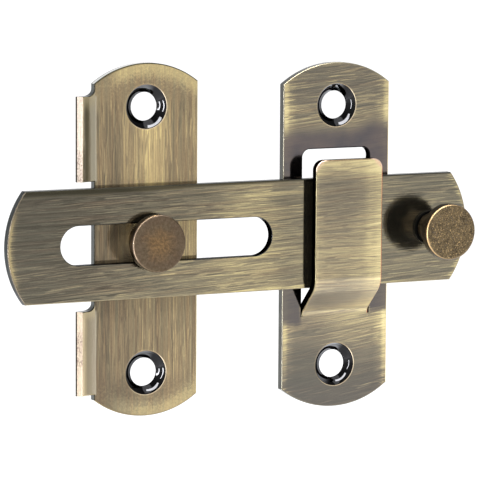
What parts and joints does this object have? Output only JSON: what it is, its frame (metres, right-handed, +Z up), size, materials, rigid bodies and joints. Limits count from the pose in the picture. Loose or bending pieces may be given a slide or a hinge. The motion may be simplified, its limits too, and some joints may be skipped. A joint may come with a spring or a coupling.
{
  "type": "toggle bolt latch",
  "caption": "Flip-over bar latch: a slotted bar turns and slides on a headed stud on its base plate and drops into an open-topped hook on a keeper plate.",
  "frame": {"origin": "on the pivot stud's axis, in the plane of the plates' back faces, which is also the centre of the base plate's two screw holes", "axes": "+X along the closed bar towards the keeper, +Z up, -Y out of the door towards the user"},
  "size_m": [0.1, 0.0139, 0.07],
  "materials": {
    "plate_brass": "vertically brushed antique brass plating under clear lacquer, with dark cut edges",
    "keeper_brass": "horizontally brushed antique brass plating under clear lacquer, with dark cut edges",
    "bar_brass": "lengthwise brushed antique brass plating under clear lacquer, with dark cut edges",
    "stud_bronze": "smooth dark bronze plating",
    "knob_bronze": "speckled dark bronze plating, worn bright on the rim"
  },
  "bodies": {
    "plates": {"base_plate": "plate_brass", "keeper_plate": "keeper_brass"},
    "stud": {"pivot_stud": "stud_bronze"},
    "bar": {"slide_bar": "bar_brass", "pull_knob": "knob_bronze"}
  },
  "joints": [
    {"name": "bar_flip", "type": "hinge", "parent": "plates", "child": "stud", "pos_m": [0, 0, 0], "axis": [0, -1, 0], "range_deg": [0, 90]},
    {"name": "bar_slide", "type": "slide", "parent": "stud", "child": "bar", "axis": [1, 0, 0], "range_m": [-0.0085, 0.0155]}
  ]
}
